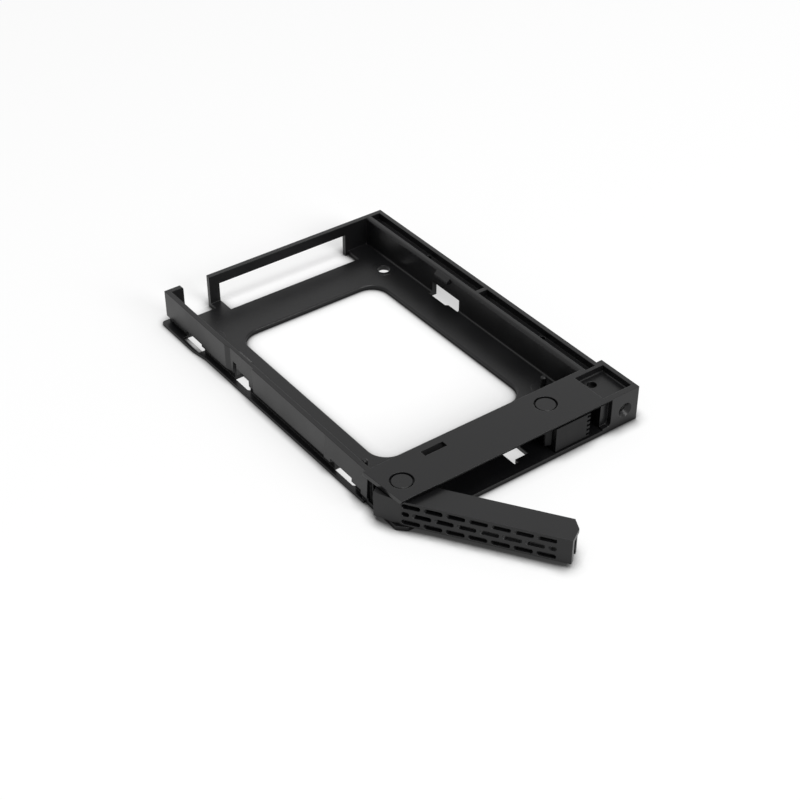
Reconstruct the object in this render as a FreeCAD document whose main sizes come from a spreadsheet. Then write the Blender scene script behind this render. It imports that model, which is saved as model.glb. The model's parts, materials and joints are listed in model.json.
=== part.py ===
"""Hot-swap tray for a 2.5-inch drive, as a parametric FreeCAD document.

The tray is one black moulding: a floor with a large window, a left wall, a hollow right rail, a back
frame and a front block. A grille-fronted lever swings on a headed pin at the front left, and a sprung
latch slides on a second headed pin at the front right and catches the lever's free end.

Millimetres. The origin is midway between the two rear drive screws, on the plane that the tray rests
on. +X points to the rail, +Y to the connector end at the back, +Z up. The lever stands open.
"""
import FreeCAD
import Part
import Sketcher
import math
import os
import re
from FreeCAD import Placement, Rotation, Vector

DIMENSIONS = {
    # the drive that the tray carries
    "screw_x": 30.86,               # half of the 61.72 mm between its bottom screws, across
    "screw_pitch": 76.6,            # between its bottom screws, along
    "bay_half": 35.4,               # half of the clear width between the left wall and the rail
    # walls and floor
    "height": 11.0,
    "floor": 1.5,
    "wall": 1.5,
    "back_y": 17.0,
    "front_y": -101.0,
    "foot_round": 0.5,
    # floor window
    "window_half": 25.0,
    "window_front": -76.1,
    "window_back": -4.1,
    "window_round": 6.0,
    "window_edge": 0.5,
    # back frame
    "hook_end": -31.3,
    "hook_round": 0.6,
    "gap_y": 12.7,
    "post_left": -22.5,
    "post_right": -19.1,
    "notch_right": 28.1,
    "notch_y": 9.5,
    "bar_right": 27.1,
    "bar_underside": 7.6,
    # right rail
    "rail_inner_wall": 1.7,
    "rail_channel": 3.4,
    "rail_outer_wall": 1.4,
    "rail_groove": 2.2,
    "rail_web": 1.5,
    "rail_rib": 1.3,
    "rail_rib_y": -38.4,
    "rail_hole": 1.1,
    "rail_hole_x": 39.2,
    "rail_hole_back": -12.0,
    "rail_hole_front": -65.5,
    "rail_round": 0.8,
    "port_front": -32.2,
    "port_back": -19.0,
    "port_top": 5.3,
    "port_step": -27.2,
    "port_step_run": 0.6,
    "port_inset_back": 1.3,
    "port_inset_front": 0.5,
    # snap nubs that hold the drive down
    "nub_front": -27.6,
    "nub_back": -21.4,
    "nub_reach": 1.2,
    "nub_top": 10.7,
    "nub_ramp": 9.8,
    "nub_lip": 9.0,
    "nub_foot": 8.6,
    # runner and guide groove along the foot of each side
    "runner": 0.8,
    "runner_front": -85.4,
    "runner_back": 14.0,
    "runner_front_reach": 0.6,
    "runner_reach": 1.0,
    "runner_narrow": -7.0,
    "bow_front": -1.0,
    "bow_reach": 1.9,
    "bow_corner": 0.6,
    "groove_front": -84.0,
    "groove_depth": 0.9,
    "groove_top_back": 2.3,
    "groove_top_front": 3.5,
    # left wall: openings at its foot, flexing relief, slit and leaning front panel
    "opening_inner": -33.2,
    "opening_outer": -37.5,
    "opening_runner": -36.2,
    "opening_corner": 1.2,
    "rear_inner": -33.9,
    "rear_outer": -38.0,
    "rear_opening_front": -3.3,
    "rear_opening_back": 6.0,
    "rear_opening_top": 3.3,
    "middle_opening_front": -28.3,
    "middle_opening_back": -20.0,
    "middle_opening_top": 5.2,
    "front_opening_front": -79.8,
    "front_opening_back": -70.0,
    "front_opening_top": 4.6,
    "relief_front": -31.3,
    "relief_back": -19.0,
    "relief_ramp": 2.2,
    "relief_depth": 0.5,
    "slit_front": -21.9,
    "slit_back": -20.2,
    "slit_bottom": 1.6,
    "slit_top": 6.8,
    "panel_back": -67.0,
    "panel_foot": 0.45,
    # front block
    "plate_back": -85.7,
    "plate": 1.4,
    "plate_left": -37.7,
    "plate_corner": -36.6,
    "lip": 0.2,
    "lip_slope": 0.7,
    "block_right": 43.85,
    "block_back": -86.7,
    "pocket_back": -88.0,
    "pocket_wall_left": -36.2,
    "pocket_floor": 1.3,
    "pocket_floor_front": -101.0,
    "pocket_corner": 2.3,
    "pocket_end": 31.4,
    "scoop_right": 34.1,
    "scoop_depth": 1.5,
    "scoop_floor": 1.9,
    "scoop_round": 1.1,
    "core_left": 34.8,
    "core_front_left": 36.2,
    "core_step": -95.5,
    "core_top": 7.4,
    "block_wall": 1.5,
    "recess_left": 32.2,
    "recess_right": 42.5,
    "recess_front": -99.2,
    "recess_back": -87.7,
    "recess_depth": 2.0,
    "recess_round": 0.35,
    "recess_hole": 1.4,
    "recess_hole_x": 35.8,
    "recess_hole_y": -90.8,
    "lamp_x": 39.2,
    "lamp_z": 5.0,
    "lamp_hole": 1.0,
    "lamp_cone": 1.3,
    "key_slot_x": -17.5,
    "key_slot_y": -89.05,
    "key_slot_length": 7.2,
    "key_slot_width": 2.1,
    "drain_left": 3.1,
    "drain_right": 8.9,
    "drain_front": -96.2,
    "drain_back": -91.0,
    "drain_notch": 1.4,
    # pegs, screw holes and the pads that the drive rests on
    "pad": 3.4,
    "pad_rise": 0.1,
    "peg": 0.9,
    "peg_top": 5.6,
    "peg_chamfer": 0.35,
    "screw_hole": 2.0,
    # headed pins
    "pin_foot": 0.4,
    "pin_head": 2.85,
    "pin_seat": 10.0,
    "pin_top": 10.85,
    "pin_gap": 0.45,
    "pin_chamfer": 0.15,
    "pivot_x": -31.77,
    "pivot_y": -94.37,
    "pivot": 1.5,
    "guide_x": 18.27,
    "guide_y": -91.74,
    "guide": 1.25,
    "running_gap": 0.05,
    # lever, drawn shut about its pivot and turned open
    "lever_open": -55.67,
    "lever_bottom": 1.5,
    "lever_top": 9.3,
    "lever_face": -5.95,
    "lever_back": 2.1,
    "lever_end": 46.3,
    "lever_bend": 1.6,
    "heel_x": -6.0,
    "heel_y": -4.77,
    "hub": 6.0,
    "lever_front_wall": 1.4,
    "lever_skin": 1.2,
    "tip_end": 46.65,
    "tip_back": -1.1,
    "tip_run": 1.85,
    "web_left": 3.6,
    "rim_left": 43.4,
    "rim_right": 44.7,
    "rim_near": -2.85,
    "rim_far": -1.75,
    "tip_notch": 44.9,
    "hub_step": 6.3,
    "hub_wall": 1.3,
    "hub_cut_right": 2.9,
    "grille_left": 2.0,
    "grille_slot": 4.95,
    "grille_pitch": 5.9,
    "grille_half": 2.0,
    "grille_height": 1.5,
    "grille_corner": 0.4,
    "grille_middle": 5.3,
    "grille_row": 2.6,
    # latch
    "latch_left": 14.8,
    "latch_right": 26.8,
    "latch_front": -100.5,
    "latch_panel": 1.5,
    "latch_bottom": 1.6,
    "latch_top": 9.3,
    "slide_top": 3.6,
    "slide_right": 26.0,
    "slide_back": -88.5,
    "nose_tip": 13.1,
    "nose_front": -98.7,
    "nose_ramp": -98.0,
    "nose_back": -97.4,
    "nose_root": 18.0,
    "nose_bottom": 2.9,
    "nose_top": 7.9,
    "ridge": 0.75,
    "ridge_depth": 1.1,
    "ridge_pitch": 1.5,
    "ridge_first": 2.1,
    "seat_left": 20.6,
    "seat_half": 2.7,
    "seat_top": 8.2,
    "seat_floor": 22.4,
    "seat_bore": 2.0,
    "seat_z": 5.4,
    "spring_bore_end": 33.6,
    # springs
    "coil": 2.6,
    "coil_wire": 0.3,
    "coil_pitch": 0.9,
    "coil_turns": 1.849,
    "coil_foot": 6.7,
    "coil_turned": 144.3,
    "coil_short_leg": 4.6,
    "coil_long_leg": 6.2,
    "latch_coil": 1.35,
    "latch_wire": 0.2,
    "latch_turns": 3.5,
    "latch_spring_left": 22.65,
    "latch_spring_right": 33.35,
}

# Places that follow from the sizes above.
PLACES = {
    "wall_left": "(-bay_half - wall)",
    "back_inner": "(back_y - wall)",
    "channel_left": "(bay_half + rail_inner_wall)",
    "channel_right": "(bay_half + rail_inner_wall + rail_channel)",
    "rail_right": "(bay_half + rail_inner_wall + rail_channel + rail_outer_wall)",
    "groove_floor": "(height - rail_groove)",
    "web_underside": "(height - rail_groove - rail_web)",
    "plate_underside": "(height - plate)",
    "recess_floor": "(height - recess_depth)",
    "latch_inner": "(latch_front + latch_panel)",
    "latch_spring_pitch": "((latch_spring_right - latch_spring_left - 2 * latch_wire) / latch_turns)",
}
CLEAR = 1.0     # how far a cutting profile runs past the faces that it opens
UP = Vector(0, 0, 1)
ALONG = Vector(0, 1, 0)
ACROSS = Vector(1, 0, 0)


def expression(text):
    """Turns a size written with plain names into an expression on the sheet's cells."""
    def place(word):
        return PLACES.get(word.group(), word.group())

    def cell(word):
        return f"size.{word.group()}" if word.group() in DIMENSIONS else word.group()

    return re.sub(r"[a-z_]+", cell, re.sub(r"[a-z_]+", place, text))


def size_sheet(doc):
    """Writes the driving dimensions to the document's sheet, one aliased cell each."""
    sheet = doc.addObject("Spreadsheet::Sheet", "size")
    for row, (alias, value) in enumerate(DIMENSIONS.items(), start=1):
        sheet.set(f"A{row}", alias)
        sheet.set(f"B{row}", str(value))
        sheet.setAlias(f"B{row}", alias)
    doc.recompute()


def value_of(owner, text):
    """Present value of a size written with plain names."""
    return float(owner.evalExpression(expression(text)))


def new_body(doc, label):
    """Empty body whose label names the piece."""
    body = doc.addObject("PartDesign::Body", label)
    body.Label = label
    return body


def origin_feature(body, role):
    """The body's own origin plane or axis with this role."""
    return next(item for item in body.Origin.OriginFeatures if item.Role == role)


def new_sketch(body, name, plane, offset):
    """Empty sketch on one of the body's origin planes, moved along that plane's normal."""
    sketch = body.newObject("Sketcher::SketchObject", name)
    sketch.AttachmentSupport = (origin_feature(body, plane), [""])
    sketch.MapMode = "FlatFace"
    sketch.setExpression("AttachmentOffset.Base.z", expression(offset))
    return sketch


def bind(sketch, constraint, text):
    """Adds a dimension to a sketch and binds it to the sheet."""
    index = sketch.addConstraint(constraint)
    sketch.setExpression(f"Constraints[{index}]", expression(text))


def bind_point(sketch, edge, end, place, x, y):
    """Ties a point of a sketch to the sketch's origin by its two coordinates."""
    for text, at, kind, axis in ((x, place.x, "DistanceX", -2), (y, place.y, "DistanceY", -1)):
        if text == "0":
            sketch.addConstraint(Sketcher.Constraint("PointOnObject", edge, end, axis))
        else:
            bind(sketch, Sketcher.Constraint(kind, -1, 1, edge, end, at), text)


def draw_outline(sketch, points):
    """Draws a closed outline; a point with a third entry starts an arc of that radius, bulging left."""
    places = [Vector(value_of(sketch, point[0]), value_of(sketch, point[1]), 0) for point in points]
    ends = []
    for index, point in enumerate(points):
        start, finish = places[index], places[(index + 1) % len(places)]
        if len(point) == 2:
            edge = sketch.addGeometry(Part.LineSegment(start, finish), False)
            ends.append((edge, 1, 2))
            continue
        radius = value_of(sketch, point[2])
        chord = finish - start
        left = Vector(-chord.y, chord.x, 0).normalize()
        rise = radius - math.sqrt(max(radius ** 2 - (chord.Length / 2) ** 2, 0))
        edge = sketch.addGeometry(Part.Arc(start, (start + finish) / 2 + left * rise, finish), False)
        runs_on = sketch.getPoint(edge, 1).distanceToPoint(start) < 1e-6
        ends.append((edge, 1, 2) if runs_on else (edge, 2, 1))
    for index, point in enumerate(points):
        edge, begin, _ = ends[index]
        before, _, close = ends[index - 1]
        sketch.addConstraint(Sketcher.Constraint("Coincident", before, close, edge, begin))
        bind_point(sketch, edge, begin, places[index], point[0], point[1])
        if len(point) == 3:
            bind(sketch, Sketcher.Constraint("Radius", edge, value_of(sketch, point[2])), point[2])


def draw_circle(sketch, x, y, radius):
    """Draws a circle with its centre and radius bound to the sheet."""
    centre = Vector(value_of(sketch, x), value_of(sketch, y), 0)
    circle = sketch.addGeometry(Part.Circle(centre, UP, value_of(sketch, radius)), False)
    bind(sketch, Sketcher.Constraint("Radius", circle, value_of(sketch, radius)), radius)
    bind_point(sketch, circle, 3, centre, x, y)


def rectangle(left, right, near, far):
    """Four corners of a rectangle, anticlockwise."""
    return [(left, near), (right, near), (right, far), (left, far)]


def settle(body, feature):
    """Recomputes the document and stops at a feature that failed."""
    feature.Refine = False
    body.Document.recompute()
    if "Invalid" in feature.State or "Error" in feature.State or not body.Shape.isValid():
        raise RuntimeError(f"{feature.Name} failed: {feature.State}")
    return feature


def pad(body, name, sketch, length):
    """Extrudes a sketch along its normal."""
    feature = body.newObject("PartDesign::Pad", name)
    feature.Profile = sketch
    feature.setExpression("Length", expression(length))
    return settle(body, feature)


def pocket(body, name, sketch, length, forward=False):
    """Cuts a sketch out of the body, against its normal or along it, and checks that it cut."""
    before = body.Shape.Volume
    feature = body.newObject("PartDesign::Pocket", name)
    feature.Profile = sketch
    feature.Reversed = forward
    feature.setExpression("Length", expression(length))
    settle(body, feature)
    if body.Shape.Volume > before - 1e-4:
        raise RuntimeError(f"{name} cuts nothing")
    return feature


def plan(body, name, level, outlines):
    """Sketch of one or more outlines or circles at a height."""
    sketch = new_sketch(body, f"{name}_plan", "XY_Plane", level)
    for outline in outlines:
        if isinstance(outline, tuple):
            draw_circle(sketch, *outline)
        else:
            draw_outline(sketch, outline)
    return sketch


def raise_plan(body, name, low, high, *outlines):
    """Adds plan outlines, or circles given as x, y and radius, between two heights."""
    return pad(body, name, plan(body, name, low, outlines), f"{high} - ({low})")


def sink_plan(body, name, high, low, *outlines):
    """Cuts plan outlines, or circles given as x, y and radius, away between two heights."""
    return pocket(body, name, plan(body, name, high, outlines), f"{high} - ({low})")


def raise_section(body, name, back, front, *outlines):
    """Adds cross-sections, drawn in X and Z, between two places along the tray."""
    sketch = new_sketch(body, f"{name}_section", "XZ_Plane", f"-({back})")
    for outline in outlines:
        draw_outline(sketch, outline)
    return pad(body, name, sketch, f"{back} - ({front})")


def sink_section(body, name, back, front, outline):
    """Cuts a cross-section, drawn in X and Z, away between two places along the tray."""
    sketch = new_sketch(body, f"{name}_section", "XZ_Plane", f"-({back})")
    draw_outline(sketch, outline)
    return pocket(body, name, sketch, f"{back} - ({front})", forward=True)


def sink_side(body, name, depth, outline):
    """Cuts a shape, drawn in Y and Z, into the left wall's outer face."""
    sketch = new_sketch(body, f"{name}_side", "YZ_Plane", "wall_left")
    draw_outline(sketch, outline)
    return pocket(body, name, sketch, depth, forward=True)


def line_at(edge, direction, **place):
    """Whether an edge is straight along a direction and has the given coordinates."""
    if not isinstance(edge.Curve, Part.Line) or edge.Curve.Direction.cross(direction).Length > 1e-6:
        return False
    middle = edge.valueAt((edge.FirstParameter + edge.LastParameter) / 2)
    return all(abs(getattr(middle, axis) - at) < 1e-3 for axis, at in place.items())


def circle_at(edge, centre, radius):
    """Whether an edge is the whole or part of a given circle."""
    if not isinstance(edge.Curve, Part.Circle):
        return False
    return abs(edge.Curve.Radius - radius) < 1e-3 and edge.Curve.Center.distanceToPoint(centre) < 1e-3


def dress(body, kind, name, test, length):
    """Fillets or chamfers the edges of the body's last feature that pass a test."""
    base = body.Tip
    names = [f"Edge{number}" for number, edge in enumerate(base.Shape.Edges, start=1) if test(edge)]
    if not names:
        raise RuntimeError(f"{name} finds no edge")
    feature = body.newObject(f"PartDesign::{kind}", name)
    feature.Base = (base, names)
    feature.setExpression("Radius" if kind == "Fillet" else "Size", expression(length))
    return settle(body, feature)


def tray_floor(body):
    """Floor with its notched back edge, the runners at both feet and the round-cornered window."""
    raise_plan(body, "floor", "0", "floor", [
        ("wall_left", "block_back"), ("rail_right", "block_back"), ("rail_right", "back_y"),
        ("notch_right", "back_y"), ("notch_right", "notch_y"), ("post_right", "notch_y"),
        ("post_right", "back_y"), ("post_left", "back_y"), ("post_left", "gap_y"),
        ("hook_end", "gap_y"), ("hook_end", "back_y"), ("wall_left", "back_y")])
    sink_plan(body, "window", f"floor + {CLEAR}", f"-{CLEAR}",
              rectangle("-window_half", "window_half", "window_front", "window_back"))
    half = value_of(body, "window_half")
    ends = (value_of(body, "window_front"), value_of(body, "window_back"))
    dress(body, "Fillet", "window_corners",
          lambda edge: any(line_at(edge, UP, x=x, y=y) for x in (-half, half) for y in ends),
          "window_round")
    level = value_of(body, "floor")
    bend = value_of(body, "window_round")
    dress(body, "Fillet", "window_edge",
          lambda edge: (any(line_at(edge, ALONG, x=x, z=level) for x in (-half, half))
                        or any(line_at(edge, ACROSS, y=y, z=level) for y in ends)
                        or any(circle_at(edge, Vector(x, y, level), bend)
                               for x in (bend - half, half - bend)
                               for y in (ends[0] + bend, ends[1] - bend))),
          "window_edge")
    raise_plan(body, "runners", "0", "runner", [
        ("wall_left + wall / 2", "runner_front"), ("wall_left - runner_front_reach", "runner_front"),
        ("wall_left - runner_reach", "runner_narrow"), ("wall_left - bow_reach", "bow_front"),
        ("wall_left - bow_reach", "back_y - bow_corner"), ("wall_left - bow_reach + bow_corner", "back_y"),
        ("wall_left + wall / 2", "back_y")], [
        ("rail_right - rail_outer_wall / 2", "block_back"), ("rail_right + runner_reach", "block_back"),
        ("rail_right + runner_reach", "runner_back"), ("rail_right", "runner_back + runner_reach"),
        ("rail_right - rail_outer_wall / 2", "runner_back")])


def tray_walls(body):
    """Left wall with its hook, and the back frame with the solid rail, at full height."""
    raise_plan(body, "walls", "0", "height", [
        ("wall_left", "block_back"), ("-bay_half", "block_back"), ("-bay_half", "back_inner"),
        ("hook_end", "back_inner"), ("hook_end", "back_y"), ("wall_left", "back_y")], [
        ("post_left", "back_inner"), ("bay_half", "back_inner"), ("bay_half", "block_back"),
        ("rail_right", "block_back"), ("rail_right", "back_y"), ("post_left", "back_y")])
    sink_plan(body, "connector_opening", "bar_underside", f"-{CLEAR}",
              rectangle("post_right", "bar_right", f"back_inner - {CLEAR}", f"back_y + {CLEAR}"))
    hook = value_of(body, "hook_end")
    top = value_of(body, "height")
    inner = value_of(body, "bay_half")
    level = value_of(body, "floor")
    dress(body, "Fillet", "hook_corner", lambda edge: line_at(edge, ALONG, x=hook, z=top), "hook_round")
    dress(body, "Fillet", "rail_foot", lambda edge: line_at(edge, ALONG, x=inner, z=level), "foot_round")
    dress(body, "Fillet", "rail_edge", lambda edge: line_at(edge, ALONG, x=inner, z=top), "rail_round")


def tray_rail(body):
    """Hollows the rail from below, grooves its top, opens its inner wall and adds the snap nubs."""
    channel = ("channel_left", "channel_right")
    sink_plan(body, "rail_hollow", "web_underside", f"-{CLEAR}",
              rectangle(*channel, "block_back", "back_inner"))
    sink_plan(body, "rail_groove", f"height + {CLEAR}", "groove_floor",
              rectangle(*channel, "rail_rib_y + rail_rib / 2", "back_inner"),
              rectangle(*channel, "block_back", "rail_rib_y - rail_rib / 2"))
    sink_plan(body, "rail_holes", "groove_floor", "web_underside",
              ("rail_hole_x", "rail_hole_back", "rail_hole"), ("rail_hole_x", "rail_hole_front", "rail_hole"))
    sink_plan(body, "rail_port", "port_top", "floor",
              rectangle(f"bay_half - {CLEAR}", "channel_left", "port_front", "port_back"))
    sink_plan(body, "rail_port_floor", "floor", f"-{CLEAR}", [
        ("channel_left", "port_front"), ("channel_left", "port_back"),
        ("bay_half - port_inset_back", "port_back"), ("bay_half - port_inset_back", "port_step"),
        ("bay_half - port_inset_front", "port_step - port_step_run"),
        ("bay_half - port_inset_front", "port_front")])
    raise_section(body, "nubs", "nub_back", "nub_front", *([
        (f"{sign}(bay_half - nub_reach)", "nub_ramp"), (f"{sign}(bay_half - nub_reach)", "nub_lip"),
        (f"{sign}bay_half", "nub_foot"), (f"{sign}(bay_half + wall / 2)", "nub_foot"),
        (f"{sign}(bay_half + wall / 2)", "nub_top"), (f"{sign}bay_half", "nub_top")] for sign in ("", "-")))


def tray_block(body):
    """Front block: top plate, lever and latch pocket, finger scoop, hollow right end and lamp port."""
    raise_plan(body, "pocket_floor", "0", "pocket_floor", [
        ("wall_left + pocket_corner", "pocket_floor_front"), ("pocket_end", "pocket_floor_front"),
        ("pocket_end", "block_back"), ("wall_left", "block_back"),
        ("wall_left", "pocket_floor_front + pocket_corner")])
    raise_plan(body, "block", "0", "height", [
        ("pocket_wall_left", "pocket_back"), ("pocket_end", "pocket_back"), ("pocket_end", "front_y"),
        ("block_right", "front_y"), ("block_right", "block_back"), ("pocket_wall_left", "block_back")])
    sink_section(body, "scoop", "front_y + scoop_depth", "front_y", [
        (f"pocket_end - {CLEAR}", "plate_underside"), ("scoop_right", "plate_underside"),
        ("scoop_right", "scoop_floor + scoop_round", "scoop_round"),
        ("scoop_right - scoop_round", "scoop_floor"), (f"pocket_end - {CLEAR}", "scoop_floor")])
    raise_plan(body, "plate", "plate_underside", "height", [
        ("plate_corner", "front_y"), ("block_right", "front_y"), ("block_right", "plate_back"),
        ("plate_left", "plate_back")])
    slope = new_sketch(body, "lip_side", "YZ_Plane", f"plate_left - {CLEAR}")
    draw_outline(slope, [
        (f"front_y - {CLEAR}", "plate_underside"), ("front_y + lip_slope", "plate_underside"),
        ("front_y", "height - lip"), (f"front_y - {CLEAR}", "height - lip")])
    pocket(body, "lip", slope, f"scoop_right - plate_left + {CLEAR}", forward=True)
    sink_plan(body, "block_core", "core_top", f"-{CLEAR}", [
        ("core_front_left", "front_y + block_wall"), ("block_right - block_wall", "front_y + block_wall"),
        ("block_right - block_wall", "block_back - block_wall"), ("core_left", "block_back - block_wall"),
        ("core_left", "core_step"), ("core_front_left", "core_step")])
    sink_plan(body, "recess", "height", "recess_floor",
              rectangle("recess_left", "recess_right", "recess_front", "recess_back"))
    low = value_of(body, "recess_floor")
    across = [value_of(body, f"recess_{side}") for side in ("left", "right")]
    along = [value_of(body, f"recess_{side}") for side in ("front", "back")]
    dress(body, "Fillet", "recess_foot",
          lambda edge: (any(line_at(edge, ALONG, x=x, z=low) for x in across)
                        or any(line_at(edge, ACROSS, y=y, z=low) for y in along)),
          "recess_round")
    sink_plan(body, "recess_hole", "recess_floor", "core_top",
              ("recess_hole_x", "recess_hole_y", "recess_hole"))
    port = new_sketch(body, "lamp_port_face", "XZ_Plane", "-front_y")
    draw_circle(port, "lamp_x", "lamp_z", "lamp_hole")
    pocket(body, "lamp_port", port, f"block_wall + {CLEAR}")
    mouth = Vector(*(value_of(body, text) for text in ("lamp_x", "front_y", "lamp_z")))
    bore = value_of(body, "lamp_hole")
    dress(body, "Chamfer", "lamp_cone", lambda edge: circle_at(edge, mouth, bore), "lamp_cone")
    spring_bore = new_sketch(body, "spring_bore_face", "YZ_Plane", "pocket_end")
    draw_circle(spring_bore, "guide_y", "seat_z", "seat_bore")
    pocket(body, "spring_bore", spring_bore, "spring_bore_end - pocket_end", forward=True)
    sink_plan(body, "drain", "pocket_floor", f"-{CLEAR}", [
        ("drain_left", "drain_front - drain_notch"), ("drain_left + drain_notch", "drain_front - drain_notch"),
        ("drain_left + drain_notch", "drain_front"), ("drain_right", "drain_front"),
        ("drain_right", "drain_back"), ("drain_left", "drain_back")])


def tray_pin_seats(body):
    """Key slot, and the round seats and holes of the two headed pins."""
    pins = ("pivot", "guide")
    sink_plan(body, "pin_head_seats", "height", "pin_seat",
              *((f"{pin}_x", f"{pin}_y", "pin_head + pin_gap") for pin in pins))
    sink_plan(body, "pin_holes", "pin_seat", "pin_foot", *((f"{pin}_x", f"{pin}_y", pin) for pin in pins))
    sink_plan(body, "key_slot", f"height + {CLEAR}", "plate_underside", rectangle(
        "key_slot_x - key_slot_length / 2", "key_slot_x + key_slot_length / 2",
        "key_slot_y - key_slot_width / 2", "key_slot_y + key_slot_width / 2"))


def tray_sides(body):
    """The left wall's leaning panel, guide groove, relief, slit and openings."""
    raise_section(body, "leaning_panel", "panel_back", "block_back", [
        ("wall_left + wall / 2", "groove_top_back"), ("wall_left - panel_foot", "groove_top_back"),
        ("wall_left", "height"), ("wall_left + wall / 2", "height")])
    groove = new_sketch(body, "guide_groove_side", "YZ_Plane", "wall_left - panel_foot")
    draw_outline(groove, [
        ("groove_front", "runner"), (f"back_y + {CLEAR}", "runner"), (f"back_y + {CLEAR}", "groove_top_back"),
        ("groove_front", "groove_top_front")])
    pocket(body, "guide_groove", groove, "panel_foot + groove_depth", forward=True)
    sink_plan(body, "relief", f"height + {CLEAR}", "runner", [
        (f"wall_left - {CLEAR}", "relief_front"), ("wall_left + relief_depth", "relief_front"),
        ("wall_left + relief_depth", "relief_back"), ("wall_left", "relief_back + relief_ramp"),
        (f"wall_left - {CLEAR}", "relief_back + relief_ramp")])
    sink_side(body, "slit", "wall", rectangle("slit_front", "slit_back", "slit_bottom", "slit_top"))
    sink_plan(body, "rear_opening", "rear_opening_top", f"-{CLEAR}",
              rectangle("rear_outer", "rear_inner", "rear_opening_front", "rear_opening_back"))
    for name in ("middle", "front"):
        sink_plan(body, f"{name}_opening", f"{name}_opening_top", "runner", rectangle(
            "opening_outer", "opening_inner", f"{name}_opening_front", f"{name}_opening_back"))
    sink_plan(body, "opening_feet", "runner", f"-{CLEAR}", *([
        ("opening_runner + opening_corner", f"{name}_opening_front"),
        ("opening_inner", f"{name}_opening_front"), ("opening_inner", f"{name}_opening_back"),
        ("opening_runner", f"{name}_opening_back"),
        ("opening_runner", f"{name}_opening_front + opening_corner")] for name in ("middle", "front")))


def tray_fittings(body):
    """Drive pads, locating pegs and screw holes."""
    sides = ("-screw_x", "screw_x")
    raise_plan(body, "drive_pads", "floor", "floor + pad_rise",
               *((x, y, "pad") for x in sides for y in ("0", "-screw_pitch")))
    raise_plan(body, "pegs", "floor", "peg_top", *((x, "-screw_pitch", "peg") for x in sides))
    sink_plan(body, "screw_holes", "floor + pad_rise", f"-{CLEAR}", *((x, "0", "screw_hole") for x in sides))
    across = value_of(body, "screw_x")
    along = -value_of(body, "screw_pitch")
    tips = [Vector(x, along, value_of(body, "peg_top")) for x in (-across, across)]
    peg = value_of(body, "peg")
    dress(body, "Chamfer", "peg_tips",
          lambda edge: any(circle_at(edge, tip, peg) for tip in tips), "peg_chamfer")


def tray_frame(doc):
    """The tray's one moulding."""
    body = new_body(doc, "tray_frame")
    tray_floor(body)
    tray_walls(body)
    tray_block(body)
    tray_pin_seats(body)
    tray_rail(body)
    tray_fittings(body)
    tray_sides(body)
    return body


def lever_handle(doc):
    """Swinging lever: a channel open at the back, with a grille of staggered slots through its face."""
    body = new_body(doc, "lever_handle")
    raise_plan(body, "lever_bar", "lever_bottom", "lever_top", [
        ("lever_bend", "lever_face"), ("lever_end", "lever_face"), ("tip_end", "tip_back"),
        ("tip_end - tip_run", "lever_back"),
        ("-sqrt(hub * hub - lever_back * lever_back)", "lever_back"), ("-hub", "0"), ("heel_x", "heel_y")])
    depth = ("lever_face + lever_front_wall", f"lever_back + {CLEAR}")
    sink_plan(body, "lever_channel", "lever_top - lever_skin", "lever_bottom + lever_skin",
              rectangle("web_left", f"tip_end + {CLEAR}", *depth),
              rectangle("rim_left", "rim_right", "rim_near", "rim_far"))
    sink_plan(body, "tip_notch", "lever_bottom + lever_skin", f"lever_bottom - {CLEAR}",
              rectangle("tip_notch", f"tip_end + {CLEAR}", *depth))
    sink_plan(body, "hub_step", f"lever_top + {CLEAR}", "hub_step", [
        ("heel_x + hub_wall", "heel_y + hub_wall"), ("hub_cut_right", "lever_face + hub_wall"),
        ("hub_cut_right", f"hub + {CLEAR}"), ("heel_x + hub_wall", f"hub + {CLEAR}")])
    sink_plan(body, "pivot_bore", "lever_top", f"lever_bottom - {CLEAR}", ("0", "0", "pivot + running_gap"))
    lever_grille(body)
    body.setExpression("Placement.Base.x", expression("pivot_x"))
    body.setExpression("Placement.Base.y", expression("pivot_y"))
    body.Placement.Rotation = Rotation(UP, value_of(body, "lever_open"))
    return body


def grille_slot(body, name, left, length, middle):
    """Cuts one slot of the grille, with its corners cut off, through the lever's face."""
    sketch = new_sketch(body, f"{name}_face", "XZ_Plane", "-lever_face")
    right = f"({left} + {length})"
    low, high = f"({middle} - grille_height / 2)", f"({middle} + grille_height / 2)"
    cut = "grille_corner"
    draw_outline(sketch, [
        (left, f"{low} + {cut}"), (left, f"{high} - {cut}"), (f"{left} + {cut}", high),
        (f"{right} - {cut}", high), (right, f"{high} - {cut}"), (right, f"{low} + {cut}"),
        (f"{right} - {cut}", low), (f"{left} + {cut}", low)])
    return pocket(body, name, sketch, "lever_front_wall")


def repeat_along(body, name, feature, count):
    """Repeats a slot along the lever at the grille's pitch."""
    pattern = body.newObject("PartDesign::LinearPattern", name)
    pattern.Originals = [feature]
    pattern.Direction = (origin_feature(body, "X_Axis"), [""])
    pattern.Occurrences = count
    pattern.setExpression("Length", expression(f"grille_pitch * {count - 1}"))
    body.Tip = pattern
    body.Document.recompute()


def lever_grille(body):
    """Three rows of slots, the middle one shifted by half a pitch and ended with short slots."""
    for row, shift in (("low", "-"), ("high", "+")):
        slot = grille_slot(body, f"slot_{row}", "grille_left", "grille_slot",
                           f"(grille_middle {shift} grille_row)")
        repeat_along(body, f"row_{row}", slot, 7)
    slot = grille_slot(body, "slot_middle", "(grille_left + grille_pitch / 2)", "grille_slot", "grille_middle")
    repeat_along(body, "row_middle", slot, 6)
    grille_slot(body, "slot_short_left", "grille_left", "grille_half", "grille_middle")
    grille_slot(body, "slot_short_right", "(grille_left + 6 * grille_pitch + grille_slot - grille_half)",
                "grille_half", "grille_middle")


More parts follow.
